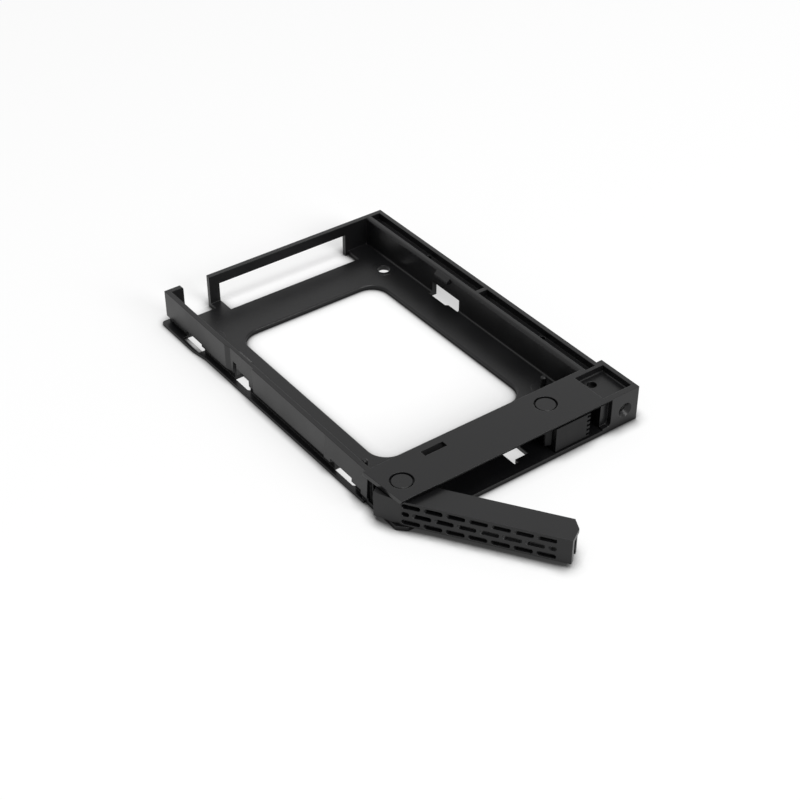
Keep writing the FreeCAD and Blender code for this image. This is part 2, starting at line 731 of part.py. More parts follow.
def headed_pin(doc, label, pin):
    """Flat-headed pin, turned about its own axis and stood in its seat."""
    body = new_body(doc, label)
    sketch = new_sketch(body, f"{pin}_profile", "XZ_Plane", "0")
    draw_outline(sketch, [
        ("0", "pin_foot"), (pin, "pin_foot"), (pin, "pin_seat"), ("pin_head", "pin_seat"),
        ("pin_head", "pin_top - pin_chamfer"), ("pin_head - pin_chamfer", "pin_top"), ("0", "pin_top")])
    turned = body.newObject("PartDesign::Revolution", f"{pin}_turned")
    turned.Profile = sketch
    turned.ReferenceAxis = (sketch, ["V_Axis"])
    turned.Angle = 360
    body.setExpression("Placement.Base.x", expression(f"{pin}_x"))
    body.setExpression("Placement.Base.y", expression(f"{pin}_y"))
    doc.recompute()
    return body


def latch_slider(doc):
    """Sliding catch: ridged thumb panel, ramped nose, forked slide plate and spring seat."""
    body = new_body(doc, "latch_slider")
    raise_plan(body, "slide_plate", "latch_bottom", "slide_top",
               rectangle("latch_left", "slide_right", "latch_inner", "slide_back"))
    raise_plan(body, "thumb_panel", "latch_bottom", "latch_top",
               rectangle("latch_left", "latch_right", "latch_front", "latch_inner"))
    raise_plan(body, "nose", "nose_bottom", "nose_top", [
        ("latch_left", "nose_front"), ("latch_left", "latch_inner"), ("nose_root", "latch_inner"),
        ("nose_root", "nose_back"), ("nose_tip", "nose_back"), ("nose_tip", "nose_ramp")])
    raise_plan(body, "spring_seat", "slide_top", "seat_top", rectangle(
        "seat_left", "slide_right", "guide_y - seat_half", "guide_y + seat_half"))
    bore = new_sketch(body, "seat_bore_face", "YZ_Plane", "slide_right")
    draw_circle(bore, "guide_y", "seat_z", "seat_bore")
    pocket(body, "seat_bore", bore, "slide_right - seat_floor")
    fork = "guide + running_gap"
    sink_plan(body, "fork", f"slide_top + {CLEAR}", f"latch_bottom - {CLEAR}", [
        (f"latch_left - {CLEAR}", f"guide_y + {fork}"), ("guide_x", f"guide_y + {fork}", fork),
        ("guide_x", f"guide_y - ({fork})"), (f"latch_left - {CLEAR}", f"guide_y - ({fork})")])
    ridge = new_sketch(body, "ridge_face", "XZ_Plane", "-latch_front")
    draw_outline(ridge, rectangle("latch_right - ridge_depth", f"latch_right + {CLEAR}",
                                  "ridge_first", "ridge_first + ridge"))
    cut = pocket(body, "ridge_gap", ridge, "latch_panel")
    ridges = body.newObject("PartDesign::LinearPattern", "ridges")
    ridges.Originals = [cut]
    ridges.Direction = (origin_feature(body, "Z_Axis"), [""])
    ridges.Occurrences = 5
    ridges.setExpression("Length", expression("ridge_pitch * 4"))
    body.Tip = ridges
    doc.recompute()
    return body


def coil(spring, radius, pitch, turns, wire):
    """Wire of six-sided section wound about Z from +X, in tilted half turns that meet squarely."""
    doc = spring.Document
    halves = []
    count = 2 * value_of(spring, turns)
    tilt = math.degrees(math.atan2(value_of(spring, pitch) / 4, value_of(spring, radius)))
    for number in range(math.ceil(count)):
        section = doc.addObject("Part::RegularPolygon", f"{spring.Name}_section_{number + 1}")
        section.Polygon = 6
        section.setExpression("Circumradius", expression(wire))
        section.Placement.Rotation = Rotation(ACROSS, 90) * Rotation(UP, 2 * tilt * number)
        reach = f"sqrt({radius} * {radius} + {pitch} * {pitch} / 16)"
        section.setExpression("Placement.Base.x", expression(reach))
        half = doc.addObject("Part::Revolution", f"{spring.Name}_half_{number + 1}")
        half.Source = section
        half.Axis = UP
        half.Angle = 180 * min(1, count - number)
        half.Solid = True
        half.Placement.Rotation = Rotation(UP, 180 * number) * Rotation(ALONG, tilt)
        half.setExpression("Placement.Base.z", expression(f"{pitch} * {2 * number + 1} / 4"))
        halves.append(half)
    return halves


def coil_leg(doc, name, angle, level, reach):
    """Straight end of the lever spring's wire, bent outwards from the winding."""
    leg = doc.addObject("Part::Cylinder", name)
    leg.setExpression("Radius", expression("coil_wire * 0.95"))
    leg.setExpression("Height", expression(f"{reach} - coil"))
    turn = Rotation(UP, angle)
    start = turn.multVec(Vector(value_of(leg, "coil"), 0, level))
    leg.Placement = Placement(start, turn * Rotation(ALONG, 90))
    return leg


def lever_spring(doc):
    """Torsion spring round the pivot pin, one leg on the lever's heel and one on the pocket's wall."""
    spring = doc.addObject("Part::MultiFuse", "lever_spring")
    spring.Label = "lever_spring"
    halves = coil(spring, "coil", "coil_pitch", "coil_turns", "coil_wire")
    turned = 360 * value_of(spring, "coil_turns")
    rise = 2 * len(halves) - 1 - math.cos(math.radians(halves[-1].Angle))
    top = value_of(spring, "coil_pitch") / 4 * rise
    spring.Shapes = halves + [coil_leg(doc, "lever_spring_heel_leg", 0, 0, "coil_short_leg"),
                              coil_leg(doc, "lever_spring_wall_leg", turned, top, "coil_long_leg")]
    spring.Placement.Rotation = Rotation(UP, value_of(spring, "coil_turned"))
    spring.setExpression("Placement.Base.x", expression("pivot_x"))
    spring.setExpression("Placement.Base.y", expression("pivot_y"))
    spring.setExpression("Placement.Base.z", expression("coil_foot"))
    doc.recompute()
    return spring


def latch_spring(doc):
    """Compression spring that pushes the latch towards the lever."""
    spring = doc.addObject("Part::MultiFuse", "latch_spring")
    spring.Label = "latch_spring"
    spring.Shapes = coil(spring, "latch_coil", "latch_spring_pitch", "latch_turns", "latch_wire")
    spring.Placement.Rotation = Rotation(ALONG, 90)
    spring.setExpression("Placement.Base.x", expression("latch_spring_left + latch_wire"))
    spring.setExpression("Placement.Base.y", expression("guide_y"))
    spring.setExpression("Placement.Base.z", expression("seat_z"))
    doc.recompute()
    return spring


def main():
    """Builds every piece, checks the document and writes one file per piece."""
    doc = FreeCAD.newDocument("drive_tray")
    size_sheet(doc)
    pieces = [tray_frame(doc), lever_handle(doc), headed_pin(doc, "lever_pivot_pin", "pivot"),
              lever_spring(doc), latch_slider(doc), headed_pin(doc, "latch_guide_pin", "guide"),
              latch_spring(doc)]
    doc.recompute()
    for item in doc.Objects:
        if "Invalid" in item.State or "Error" in item.State:
            raise RuntimeError(f"{item.Name} failed: {item.State}")
    for piece in pieces:
        if piece.Shape.isNull() or not piece.Shape.isValid() or len(piece.Shape.Solids) != 1:
            raise RuntimeError(f"{piece.Label} is not one valid solid")
    os.makedirs("parts", exist_ok=True)
    for piece in pieces:
        piece.Shape.exportStep(f"parts/{piece.Label}.step")


main()
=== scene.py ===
"""Looks of a black moulded drive tray: windowed frame, grille lever, sprung latch, pins and springs."""

import json
import logging
import math
from dataclasses import dataclass
from enum import Enum
from typing import Any

import bmesh
import bpy
from mathutils import Matrix, Vector


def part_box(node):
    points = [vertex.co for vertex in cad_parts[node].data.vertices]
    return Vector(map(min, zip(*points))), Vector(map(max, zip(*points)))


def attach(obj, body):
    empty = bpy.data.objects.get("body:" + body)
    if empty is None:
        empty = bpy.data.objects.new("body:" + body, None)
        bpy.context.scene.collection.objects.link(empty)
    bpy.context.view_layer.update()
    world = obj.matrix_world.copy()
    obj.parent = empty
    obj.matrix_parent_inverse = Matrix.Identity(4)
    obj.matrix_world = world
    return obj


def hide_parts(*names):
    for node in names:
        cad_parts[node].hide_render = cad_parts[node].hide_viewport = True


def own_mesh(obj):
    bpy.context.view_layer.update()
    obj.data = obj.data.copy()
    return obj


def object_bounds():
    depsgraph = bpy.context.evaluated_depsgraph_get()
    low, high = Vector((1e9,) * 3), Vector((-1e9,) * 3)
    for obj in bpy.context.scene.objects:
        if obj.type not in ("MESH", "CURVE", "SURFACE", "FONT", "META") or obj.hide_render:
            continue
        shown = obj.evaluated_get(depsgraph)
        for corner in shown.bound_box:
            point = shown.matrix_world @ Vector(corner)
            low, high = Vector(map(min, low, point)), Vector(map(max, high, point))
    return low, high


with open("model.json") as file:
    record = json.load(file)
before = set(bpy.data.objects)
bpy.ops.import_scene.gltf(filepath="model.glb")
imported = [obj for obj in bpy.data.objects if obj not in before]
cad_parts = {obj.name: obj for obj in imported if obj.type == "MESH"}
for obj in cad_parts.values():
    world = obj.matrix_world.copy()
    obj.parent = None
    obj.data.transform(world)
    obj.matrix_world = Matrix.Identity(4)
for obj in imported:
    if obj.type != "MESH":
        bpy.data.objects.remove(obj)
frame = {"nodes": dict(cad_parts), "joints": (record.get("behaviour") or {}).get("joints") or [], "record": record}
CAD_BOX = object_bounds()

LOG = logging.getLogger("drive_tray")
MM = 0.001
FULL_TURN = 2 * math.pi
# sockets of a Mix node that mixes colours, several of which share a name
MIX_SHARE = 0
MIX_FIRST = 6
MIX_SECOND = 7
MIX_COLOUR = 2


class EdgeWearAndHighlight(Enum):
    """How far a piece's edges are paled, as the share of the pale edge colour that shows on them: partly worn by
    handling, partly a painted edge highlight.
    """

    HANDLED = 0.55
    HELD = 0.3


def linear(colour: str) -> tuple[float, float, float, float]:
    """Turns an sRGB hex colour to linear values.

    Args:
        colour: sRGB colour written as #rrggbb.

    Returns:
        Linear red, green, blue and an alpha of one.
    """
    parts = [int(colour[start:start + 2], 16) / 255 for start in (1, 3, 5)]
    # the sRGB curve: a straight foot, and a power above it
    red, green, blue = (
        part / 12.92 if part <= 0.04045 else ((part + 0.055) / 1.055) ** 2.4
        for part in parts
    )
    return red, green, blue, 1.0


def add_node(
    tree: bpy.types.NodeTree,
    kind: str,
    settings: dict[str | int, Any] | None = None,
    links: dict[str | int, bpy.types.NodeSocket] | None = None,
) -> bpy.types.Node:
    """Adds a shader node with its settings and incoming links.

    Args:
        tree: Node tree that takes the node.
        kind: Type name of the node.
        settings: Values by property name, input name or input number.
        links: Output sockets by the name or number of the input that they feed.

    Returns:
        The new node.
    """
    node = tree.nodes.new(kind)
    for name, value in (settings or {}).items():
        if isinstance(name, str) and hasattr(node, name):
            setattr(node, name, value)
        else:
            node.inputs[name].default_value = value
    for name, socket in (links or {}).items():
        tree.links.new(socket, node.inputs[name])
    return node


def empty_material(name: str) -> bpy.types.Material:
    """Makes a material whose node tree is empty.

    Args:
        name: Name of the material.

    Returns:
        The new material.
    """
    material = bpy.data.materials.new(name)
    material.use_nodes = True
    material.node_tree.nodes.clear()
    return material


def per_metre(size_mm: float) -> float:
    """Scale of a noise whose features have this size."""
    return 1 / (size_mm * MM)


def joint(name: str) -> dict[str, Any]:
    """The frame's joint of this name."""
    return next(entry for entry in frame["joints"] if entry["name"] == name)


def opening(name: str) -> list[list[float]]:
    """Low and high corner of the record's opening of this name, in metres."""
    return next(gap["box_m"] for gap in frame["record"]["physics"]["openings"] if gap["name"] == name)


@dataclass(frozen=True)
class MouldedPlastic:
    """Injection-moulded plastic from a spark-eroded mould: satin, finely grained, with paler edges that are partly
    worn by handling and partly a painted highlight.
    """

    name: str
    colour: str
    worn_highlit_edge: str
    roughness: float
    ior: float
    # the eroded texture scatters part of the mirror-like reflection, so this is below the usual half
    specular: float
    grain_mm: float
    grain_depth_mm: float
    flow_mm: float
    edge_mm: float
    edge_wear_and_highlight: EdgeWearAndHighlight
    # how far the roughness goes either way, and the noise where it is lowest and where it is highest
    gloss_change: float = 0.05
    flow_band: tuple[float, float] = (0.3, 0.7)
    # cosine between the rounded and the flat normal where the pale edge, partly worn and partly painted highlight,
    # starts and where it is full
    worn_highlit_edge_band: tuple[float, float] = (0.995, 0.8)

    def worn_highlit_edge_tint(
        self,
        tree: bpy.types.NodeTree,
        rounded: bpy.types.NodeSocket,
    ) -> bpy.types.NodeSocket:
        """Mixes the plastic's colour with the paler one on its edges, which is partly worn by handling and partly
        a painted highlight.

        Args:
            tree: Node tree of the plastic.
            rounded: Normal with the edges rounded off.

        Returns:
            The colour.
        """
        flat = add_node(tree, "ShaderNodeNewGeometry").outputs["Normal"]
        agree = add_node(
            tree,
            "ShaderNodeVectorMath",
            {"operation": "DOT_PRODUCT"},
            {0: rounded, 1: flat},
        )
        starts, full = self.worn_highlit_edge_band
        edge = add_node(
            tree,
            "ShaderNodeMapRange",
            {"From Min": starts, "From Max": full, "To Min": 0.0, "To Max": self.edge_wear_and_highlight.value},
            {"Value": agree.outputs["Value"]},
        )
        # paler edges: partly worn by handling, partly a painted highlight along them
        tint = add_node(
            tree,
            "ShaderNodeMix",
            {"data_type": "RGBA", MIX_FIRST: linear(self.colour), MIX_SECOND: linear(self.worn_highlit_edge)},
            {MIX_SHARE: edge.outputs["Result"]},
        )
        return tint.outputs[MIX_COLOUR]

    def material(self) -> bpy.types.Material:
        """Builds the plastic's shader.

        Returns:
            The finished material.
        """
        made = empty_material(self.name)
        tree = made.node_tree
        place = add_node(tree, "ShaderNodeTexCoord").outputs["Object"]
        # the mould's eroded texture, coarser than the real one so that it still shows at this distance
        grain = add_node(
            tree,
            "ShaderNodeTexNoise",
            {"Scale": per_metre(self.grain_mm), "Detail": 2.0, "Roughness": 0.55},
            {"Vector": place},
        )
        # slow changes of gloss where the melt flowed and cooled
        flow = add_node(
            tree,
            "ShaderNodeTexNoise",
            {"Scale": per_metre(self.flow_mm), "Detail": 3.0, "Roughness": 0.5},
            {"Vector": place},
        )
        bright, dull = self.flow_band
        gloss = add_node(
            tree,
            "ShaderNodeMapRange",
            {
                "From Min": bright,
                "From Max": dull,
                "To Min": self.roughness - self.gloss_change,
                "To Max": self.roughness + self.gloss_change,
            },
            {"Value": flow.outputs["Fac"]},
        )
        rounded = add_node(tree, "ShaderNodeBevel", {"samples": 6, "Radius": self.edge_mm * MM})
        bump = add_node(
            tree,
            "ShaderNodeBump",
            {"Strength": 1.0, "Distance": self.grain_depth_mm * MM},
            {"Height": grain.outputs["Fac"], "Normal": rounded.outputs["Normal"]},
        )
        shader = add_node(
            tree,
            "ShaderNodeBsdfPrincipled",
            {"IOR": self.ior, "Specular IOR Level": self.specular},
            {
                "Base Color": self.worn_highlit_edge_tint(tree, rounded.outputs["Normal"]),
                "Roughness": gloss.outputs["Result"],
                "Normal": bump.outputs["Normal"],
            },
        )
        add_node(tree, "ShaderNodeOutputMaterial", links={"Surface": shader.outputs["BSDF"]})
        return made


@dataclass(frozen=True)
class DrawnWire:
    """Spring steel wire, drawn through a die: bright metal with fine specks of a duller tone."""

    name: str
    colour: str
    speck: str
    roughness: float
    speck_mm: float
    # how far the roughness falls below and rises above its middle value
    gloss_change: tuple[float, float] = (0.06, 0.1)

    def material(self) -> bpy.types.Material:
        """Builds the wire's shader.

        Returns:
            The finished material.
        """
        made = empty_material(self.name)
        tree = made.node_tree
        place = add_node(tree, "ShaderNodeTexCoord").outputs["Object"]
        specks = add_node(
            tree,
            "ShaderNodeTexNoise",
            {"Scale": per_metre(self.speck_mm), "Detail": 2.0},
            {"Vector": place},
        )
        tint = add_node(
            tree,
            "ShaderNodeMix",
            {"data_type": "RGBA", MIX_FIRST: linear(self.colour), MIX_SECOND: linear(self.speck)},
            {MIX_SHARE: specks.outputs["Fac"]},
        )
        fall, rise = self.gloss_change
        gloss = add_node(
            tree,
            "ShaderNodeMapRange",
            {"To Min": self.roughness - fall, "To Max": self.roughness + rise},
            {"Value": specks.outputs["Fac"]},
        )
        shader = add_node(
            tree,
            "ShaderNodeBsdfPrincipled",
            {"Metallic": 1.0},
            {"Base Color": tint.outputs[MIX_COLOUR], "Roughness": gloss.outputs["Result"]},
        )
        add_node(tree, "ShaderNodeOutputMaterial", links={"Surface": shader.outputs["BSDF"]})
        return made


# ABS from a textured mould: near black, greyed by a broad soft reflection with no sharp highlight in it
ABS_TRAY = MouldedPlastic(
    name="moulded_black_abs_tray",
    colour="#0e0e0f",
    worn_highlit_edge="#28282a",
    roughness=0.32,
    ior=1.53,
    specular=0.27,
    grain_mm=0.34,
    grain_depth_mm=0.006,
    flow_mm=14.0,
    edge_mm=0.28,
    edge_wear_and_highlight=EdgeWearAndHighlight.HELD,
)
# the same ABS in a part that fingers pull: a little softer in its gloss, and paler along its edges, partly worn
# and partly a painted highlight
ABS_LEVER = MouldedPlastic(
    name="moulded_black_abs_lever",
    colour="#0e0e0f",
    worn_highlit_edge="#28282a",
    roughness=0.35,
    ior=1.53,
    specular=0.31,
    grain_mm=0.3,
    grain_depth_mm=0.006,
    flow_mm=9.0,
    edge_mm=0.25,
    edge_wear_and_highlight=EdgeWearAndHighlight.HANDLED,
)
# the same ABS, a little rougher and with a darker colour and weaker reflection: painted shade, so that the latch
# in its pocket under the plate's front edge stands darker than the block round it
SHADED_ABS_LATCH = MouldedPlastic(
    name="moulded_black_abs_latch",
    colour="#0b0b0c",
    worn_highlit_edge="#202022",
    roughness=0.38,
    ior=1.53,
    specular=0.15,
    grain_mm=0.3,
    grain_depth_mm=0.007,
    flow_mm=6.0,
    edge_mm=0.2,
    edge_wear_and_highlight=EdgeWearAndHighlight.HANDLED,
)
# acetal from a smoother mould: a slightly waxy gloss on the flat heads of the pins
ACETAL_PIN = MouldedPlastic(
    name="moulded_black_acetal_pin",
    colour="#101011",
    worn_highlit_edge="#28282a",
    roughness=0.3,
    ior=1.48,
    specular=0.32,
    grain_mm=0.25,
    grain_depth_mm=0.004,
    flow_mm=5.0,
    edge_mm=0.12,
    edge_wear_and_highlight=EdgeWearAndHighlight.HELD,
)
# drawn steel: a small bright glint among the black pieces
SPRING_WIRE = DrawnWire(
    name="drawn_spring_steel_wire",
    colour="#b4b4b6",
    speck="#8a8986",
    roughness=0.3,
    speck_mm=0.15,
)


def dress_node(name: str, material: bpy.types.Material) -> str:
    """Gives a node of the frame its finish.

    Args:
        name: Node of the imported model.
        material: Finish that it takes.

    Returns:
        The node's name.
    """
    mesh = frame["nodes"][name].data
    mesh.materials.clear()
    mesh.materials.append(material)
    return name


def add_piece(name: str, shape: bmesh.types.BMesh, body: str) -> bpy.types.Object:
    """Turns a finished mesh into a piece that rides on a body of the tray.

    Args:
        name: Name of the piece.
        shape: Its mesh, which is freed.
        body: Body that it moves with.

    Returns:
        The new piece.
    """
    mesh = bpy.data.meshes.new(name)
    shape.to_mesh(mesh)
    shape.free()
    piece = bpy.data.objects.new(name, mesh)
    bpy.context.scene.collection.objects.link(piece)
    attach(piece, body)
    return piece


@dataclass
class TrayFrame:
    """The one-piece moulding that carries the drive, with the two headed pins pressed into it."""

    moulding: str = "tray_frame"
    pins: tuple[str, ...] = ("lever_pivot_pin", "latch_guide_pin")

    def dress(self) -> list[str]:
        """Gives the moulding and its pins their plastics.

        Returns:
            Names of the dressed pieces.
        """
        pin_finish = ACETAL_PIN.material()
        done = [dress_node(self.moulding, ABS_TRAY.material())]
        done += [dress_node(pin, pin_finish) for pin in self.pins]
        return done


@dataclass
class LeverAndLatch:
    """The swinging lever, the sliding latch that holds it, and their springs."""

    lever: str = "lever_handle"
    latch: str = "latch_slider"
    lever_spring: str = "lever_spring"
    latch_spring: str = "latch_spring"
    slide: str = "latch_slide"
    hinge: str = "lever_swing"
    wire_radius_mm: float = 0.2
    turns: float = 3.5
    rings_per_turn: int = 28
    wire_sides: int = 12
    # the blade's corners, from the pivot of the shut lever
    blade_low_mm: tuple[float, float, float] = (45.95, -2.85, 2.2)
    blade_high_mm: tuple[float, float, float] = (46.5, -1.8, 8.15)
    blade_edge_mm: float = 0.12
    blade_edge_steps: int = 2
    round_profile: float = 0.5

    def wire_ring(
        self,
        shape: bmesh.types.BMesh,
        low: Vector,
        high: Vector,
        share: float,
    ) -> list[bmesh.types.BMVert]:
        """Sets one ring of the coil's round wire.

        Args:
            shape: Mesh that takes the ring.
            low: Lowest corner of the spring's box.
            high: Highest corner of the spring's box.
            share: Place along the wire, from zero at the coil's low end to one.

        Returns:
            The ring's corners in order.
        """
        wire = self.wire_radius_mm * MM
        radius = (high.z - low.z) / 2 - wire
        rise = high.x - low.x - 2 * wire
        turned = FULL_TURN * self.turns
        # the wire starts at the lowest point of its first turn
        angle = turned * share - FULL_TURN / 4
        out = Vector((0, math.cos(angle), math.sin(angle)))
        centre = (low + high) / 2 + out * radius
        centre.x = low.x + wire + rise * share
        onward = Vector((rise / turned, -radius * math.sin(angle), radius * math.cos(angle))).normalized()
        side = onward.cross(out)
        bends = [FULL_TURN * corner / self.wire_sides for corner in range(self.wire_sides)]
        return [
            shape.verts.new(centre + wire * (math.cos(bend) * out + math.sin(bend) * side))
            for bend in bends
        ]

    def wind(self, low: Vector, high: Vector) -> bmesh.types.BMesh:
        """Winds the latch's compression spring along X.

        Args:
            low: Lowest corner of the spring's box.
            high: Highest corner of the spring's box.

        Returns:
            The coil's mesh, smooth round the wire and flat on its cut ends.
        """
        shape = bmesh.new()
        steps = round(self.turns * self.rings_per_turn)
        rings = [self.wire_ring(shape, low, high, step / steps) for step in range(steps + 1)]
        for near, far in zip(rings, rings[1:]):
            for corner in range(self.wire_sides):
                beside = (corner + 1) % self.wire_sides
                face = shape.faces.new((near[corner], near[beside], far[beside], far[corner]))
                face.smooth = True
        shape.faces.new(rings[0][::-1])
        shape.faces.new(rings[-1])
        bmesh.ops.recalc_face_normals(shape, faces=shape.faces)
        return shape

    def latch_coil(self) -> bpy.types.Object:
        """Puts the coil in place of the spring's plain solid, on the tray.

        Returns:
            The coil.
        """
        low, high = (Vector(corner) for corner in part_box(self.latch_spring))
        coil = add_piece("latch_spring_coil", self.wind(low, high), "tray")
        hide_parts(self.latch_spring)
        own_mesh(coil)
        return coil

    def catch_blade(self) -> bpy.types.Object:
        """Hangs the catch blade from the lever's free end.

        Returns:
            The blade, standing where the open lever has it.
        """
        hinge = joint(self.hinge)
        low = Vector(self.blade_low_mm) * MM
        high = Vector(self.blade_high_mm) * MM
        shape = bmesh.new()
        bmesh.ops.create_cube(shape, size=1.0)
        bmesh.ops.scale(shape, vec=high - low, verts=shape.verts)
        bmesh.ops.translate(shape, vec=(low + high) / 2, verts=shape.verts)
        bmesh.ops.bevel(
            shape,
            geom=shape.edges,
            offset=self.blade_edge_mm * MM,
            segments=self.blade_edge_steps,
            affect="EDGES",
            profile=self.round_profile,
        )
        opened = Matrix.Rotation(-math.radians(hinge["range_deg"][1]), 4, "Z")
        pivot = Vector((hinge["pos_m"][0], hinge["pos_m"][1], 0))
        shape.transform(Matrix.Translation(pivot) @ opened)
        return add_piece("lever_catch_blade", shape, "lever")

    def dress(self) -> list[str]:
        """Adds the blade and the coil, and gives the moving pieces and the springs their finishes.

        Returns:
            Names of the dressed pieces.
        """
        plastic = ABS_LEVER.material()
        wire = SPRING_WIRE.material()
        blade = self.catch_blade()
        blade.data.materials.append(plastic)
        coil = self.latch_coil()
        coil.data.materials.append(wire)
        return [
            dress_node(self.lever, plastic),
            dress_node(self.latch, SHADED_ABS_LATCH.material()),
            dress_node(self.lever_spring, wire),
            blade.name,
            coil.name,
        ]


def seen_plainly(tree: bpy.types.NodeTree) -> bpy.types.NodeSocket:
    """Tells the rays that show the white ground from those that only light the tray.

    Args:
        tree: Node tree of the paper or the world.

    Returns:
        One where the camera, a reflection or a clear piece shows the ground, and otherwise zero.
    """
    ray = add_node(tree, "ShaderNodeLightPath").outputs
    seen = ray["Is Camera Ray"]
    for passed_on in ("Is Glossy Ray", "Is Transmission Ray"):
        seen = add_node(
            tree,
            "ShaderNodeMath",
            {"operation": "MAXIMUM"},
            {0: seen, 1: ray[passed_on]},
        ).outputs["Value"]
    return seen


@dataclass(frozen=True)
class PaperPatch:
    """A rectangle of the paper, in metres, and how far its mark runs out past each border."""

    low: tuple[float, float]
    high: tuple[float, float]
    left_fade: float
    right_fade: float
    front_fade: float
    back_fade: float

    def mark(self, tree: bpy.types.NodeTree) -> bpy.types.NodeSocket:
        """Marks the patch.

        Args:
            tree: Node tree of the paper.

        Returns:
            One inside the patch, running out to zero past its borders.
        """
        place = add_node(tree, "ShaderNodeNewGeometry").outputs["Position"]
        axes = add_node(tree, "ShaderNodeSeparateXYZ", links={0: place}).outputs
        borders = (
            ("X", self.low[0] - self.left_fade, self.low[0]),
            ("X", self.high[0] + self.right_fade, self.high[0]),
            ("Y", self.low[1] - self.front_fade, self.low[1]),
            ("Y", self.high[1] + self.back_fade, self.high[1]),
        )
        ramps = [
            add_node(
                tree,
                "ShaderNodeMapRange",
                {"interpolation_type": "SMOOTHSTEP", "From Min": outer, "From Max": inner},
                {"Value": axes[axis]},
            ).outputs["Result"]
            for axis, outer, inner in borders
        ]
        marked = ramps[0]
        for ramp in ramps[1:]:
            marked = add_node(
                tree,
                "ShaderNodeMath",
                {"operation": "MULTIPLY"},
                {0: marked, 1: ramp},
            ).outputs["Value"]
        return marked


@dataclass
class PaperSweep:
    """The white paper under the tray: even white, with the tray's shadow and a line of painted shade at its feet.
    """

    width_mm: float = 4000.0
    # keeps the paper just clear of the moulding's underside
    gap_mm: float = 0.03
    colour: str = "#fbfbfb"
    # share of the paper's own light, which evens out its shading: in the open and under the moulding, where it
    # paints light over the moulding's shade, and where the shadow is kept
    painted_light_glow: float = 0.6
    shadow_glow: float = 0.1
    # how far the window's patch reaches under the moulding, across the tray and along it
    window_margin_mm: tuple[float, float] = (3.0, 7.0)
    port_inset_mm: float = 2.5
    sharp_mm: float = 0.1
    side_fade_mm: float = 12.0
    back_fade_mm: float = 50.0
    contact_mm: float = 4.4
    painted_contact_shade: str = "#484848"
    # open share of the sky over the paper at which the painted contact shade is full and at which it ends
    contact_band: tuple[float, float] = (0.5, 0.97)

    def sharp_patch(self, low: tuple[float, float], high: tuple[float, float]) -> PaperPatch:
        """A patch with sharp borders."""
        edge = self.sharp_mm * MM
        return PaperPatch(low, high, edge, edge, edge, edge)

    def window_patch(self) -> PaperPatch:
        """The paper that shows in the tray's window.

        Returns:
            The patch, a little larger than the window so that its border stays under the moulding.
        """
        low, high = opening("floor_window")
        across, along = (margin * MM for margin in self.window_margin_mm)
        return self.sharp_patch((low[0] - across, low[1] - along), (high[0] + across, high[1] + along))

    def back_patch(self) -> PaperPatch:
        """The paper in the connector opening and behind the back bar.

        Returns:
            The patch, with its front border under the moulding and the others faded.
        """
        low, high = opening("connector_opening")
        side = self.side_fade_mm * MM
        return PaperPatch(
            low=(low[0], low[1]),
            high=(high[0] + side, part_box("tray_frame")[1][1]),
            left_fade=side,
            right_fade=side,
            front_fade=self.sharp_mm * MM,
            back_fade=self.back_fade_mm * MM,
        )

    def moulding_patch(self) -> PaperPatch:
        """The paper under the whole moulding.

        Returns:
            The patch, a little smaller than the moulding so that its outer feet keep their painted contact shade.
        """
        low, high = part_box("tray_frame")
        inset = self.port_inset_mm * MM
        return self.sharp_patch((low[0] + inset, low[1] + inset), (high[0] - inset, high[1] - inset))

    def paint_contact_shade(self, tree: bpy.types.NodeTree, shadowed: bpy.types.NodeSocket) -> bpy.types.NodeSocket:
        """Paints shade on the paper in a tight line where a foot of the moulding meets it.

        Args:
            tree: Node tree of the paper.
            shadowed: One where the paper keeps the moulding's shadow.

        Returns:
            The paper's colour.
        """
        # the paper under the moulding shows only through its ports, and is painted white there: no contact shade,
        # and its own light over the moulding's shade
        covered = add_node(
            tree,
            "ShaderNodeMath",
            {"operation": "SUBTRACT"},
            {0: self.moulding_patch().mark(tree), 1: shadowed},
        )
        # painted contact shade: the paper's colour darkens where the moulding hides the sky close to it
        near = add_node(
            tree,
            "ShaderNodeAmbientOcclusion",
            {"samples": 16, "Distance": self.contact_mm * MM},
        )
        full, ends = self.contact_band
        open_share = add_node(
            tree,
            "ShaderNodeMapRange",
            {"From Min": full, "From Max": ends},
            {"Value": near.outputs["AO"]},
        )
        clear = add_node(
            tree,
            "ShaderNodeMath",
            {"operation": "MAXIMUM"},
            {0: open_share.outputs["Result"], 1: covered.outputs["Value"]},
        )
        tint = add_node(
            tree,
            "ShaderNodeMix",
            {"data_type": "RGBA", MIX_FIRST: linear(self.painted_contact_shade), MIX_SECOND: linear(self.colour)},
            {MIX_SHARE: clear.outputs["Value"]},
        )
        return tint.outputs[MIX_COLOUR]

    def material(self) -> bpy.types.Material:
        """Builds the paper's shader: matt white, lit partly by itself where the ground is seen.

        Returns:
            The finished material.
        """
        made = empty_material("matt_white_paper_sweep")
        tree = made.node_tree
        # the window and the floor behind the back bar, where the moulding's own shadow lies
        shadowed = add_node(
            tree,
            "ShaderNodeMath",
            {"operation": "MAXIMUM"},
            {0: self.window_patch().mark(tree), 1: self.back_patch().mark(tree)},
        ).outputs["Value"]
        colour = self.paint_contact_shade(tree, shadowed)
        paper = add_node(tree, "ShaderNodeBsdfDiffuse", links={"Color": colour})
        glow = add_node(
            tree,
            "ShaderNodeEmission",
            links={"Color": colour, "Strength": seen_plainly(tree)},
        )
        share = add_node(
            tree,
            "ShaderNodeMapRange",
            {"To Min": self.painted_light_glow, "To Max": self.shadow_glow},
            {"Value": shadowed},
        )
        both = add_node(
            tree,
            "ShaderNodeMixShader",
            links={
                0: share.outputs["Result"],
                1: paper.outputs["BSDF"],
                2: glow.outputs["Emission"],
            },
        )
        add_node(tree, "ShaderNodeOutputMaterial", links={"Surface": both.outputs["Shader"]})
        return made

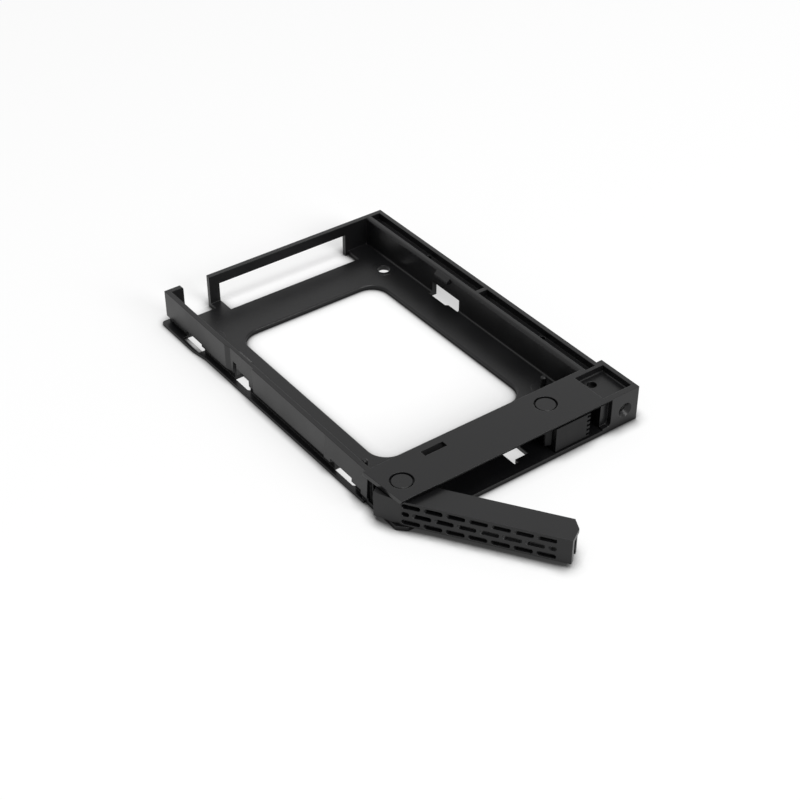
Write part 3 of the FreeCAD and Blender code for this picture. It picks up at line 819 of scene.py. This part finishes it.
    def build(self) -> None:
        """Lays the paper just under the tray."""
        half = self.width_mm * MM / 2
        level = CAD_BOX[0][2] - self.gap_mm * MM
        corners = [(-half, -half, level), (half, -half, level), (half, half, level), (-half, half, level)]
        mesh = bpy.data.meshes.new("floor")
        mesh.from_pydata(corners, [], [range(len(corners))])
        mesh.materials.append(self.material())
        sweep = bpy.data.objects.new("floor", mesh)
        bpy.context.scene.collection.objects.link(sweep)


@dataclass(frozen=True)
class SoftBox:
    """One soft square studio lamp."""

    name: str
    place_mm: tuple[float, float, float]
    width_mm: float
    power_w: float

    def build(self, target: Vector) -> None:
        """Hangs the lamp.

        Args:
            target: Point that the lamp faces.
        """
        lamp = bpy.data.lights.new(self.name, "AREA")
        lamp.shape = "SQUARE"
        lamp.size = self.width_mm * MM
        lamp.energy = self.power_w
        place = Vector(self.place_mm) * MM
        holder = bpy.data.objects.new(self.name, lamp)
        holder.location = place
        holder.rotation_euler = (target - place).to_track_quat("-Z", "Y").to_euler()
        bpy.context.scene.collection.objects.link(holder)


@dataclass
class Studio:
    """White sweep, pale surround, soft lamps and the camera."""

    sweep: PaperSweep
    lamps: tuple[SoftBox, ...] = (
        SoftBox(name="front_box", place_mm=(-200.0, -1300.0, 1600.0), width_mm=900.0, power_w=7.0),
        SoftBox(name="low_front_box", place_mm=(400.0, -1800.0, 800.0), width_mm=900.0, power_w=20.0),
        SoftBox(name="overhead_box", place_mm=(0.0, -400.0, 2000.0), width_mm=800.0, power_w=16.0),
    )
    lamp_target_mm: tuple[float, float, float] = (0.0, -45.0, 0.0)
    # strength of the surround where it only lights the tray, and where it is seen as white
    surround_light: float = 0.42
    surround_seen: float = 1.0
    eye_mm: tuple[float, float, float] = (-216.8, -345.4, 275.2)
    yaw_deg: float = 36.318
    pitch_deg: float = 37.417
    roll_deg: float = -0.095
    lens_mm: float = 72.56
    sensor_mm: float = 36.0
    nearest_mm: float = 10.0

    def camera(self) -> None:
        """Stands the camera where the tray is seen from."""
        yaw = math.radians(self.yaw_deg)
        pitch = math.radians(self.pitch_deg)
        forward = Vector((
            math.sin(yaw) * math.cos(pitch),
            math.cos(yaw) * math.cos(pitch),
            -math.sin(pitch),
        ))
        right = Vector((math.cos(yaw), -math.sin(yaw), 0))
        turn = Matrix((right, right.cross(forward), -forward)).transposed().to_4x4()
        turn = turn @ Matrix.Rotation(math.radians(self.roll_deg), 4, "Z")
        lens = bpy.data.cameras.new("camera")
        lens.lens = self.lens_mm
        lens.sensor_width = self.sensor_mm
        lens.clip_start = self.nearest_mm * MM
        holder = bpy.data.objects.new("camera", lens)
        holder.matrix_world = Matrix.Translation(Vector(self.eye_mm) * MM) @ turn
        bpy.context.scene.collection.objects.link(holder)
        bpy.context.scene.camera = holder

    def surround(self) -> None:
        """Surrounds the tray with an even pale light, white where the camera or a reflection sees it."""
        world = bpy.data.worlds.new("studio")
        world.use_nodes = True
        tree = world.node_tree
        tree.nodes.clear()
        level = add_node(
            tree,
            "ShaderNodeMapRange",
            {"To Min": self.surround_light, "To Max": self.surround_seen},
            {"Value": seen_plainly(tree)},
        )
        light = add_node(
            tree,
            "ShaderNodeBackground",
            {"Color": linear("#ffffff")},
            {"Strength": level.outputs["Result"]},
        )
        add_node(tree, "ShaderNodeOutputWorld", links={"Surface": light.outputs["Background"]})
        bpy.context.scene.world = world

    def build(self) -> None:
        """Sets the whole studio."""
        self.camera()
        self.sweep.build()
        self.surround()
        target = Vector(self.lamp_target_mm) * MM
        for lamp in self.lamps:
            lamp.build(target)
        bpy.context.scene.view_settings.view_transform = "Standard"


def main() -> None:
    """Builds and dresses each sub-assembly, then the studio."""
    logging.basicConfig(level=logging.INFO)
    for assembly in (TrayFrame(), LeverAndLatch()):
        for piece in assembly.dress():
            LOG.info("dressed %s", piece)
    Studio(PaperSweep()).build()


if __name__ == "__main__":
    main()
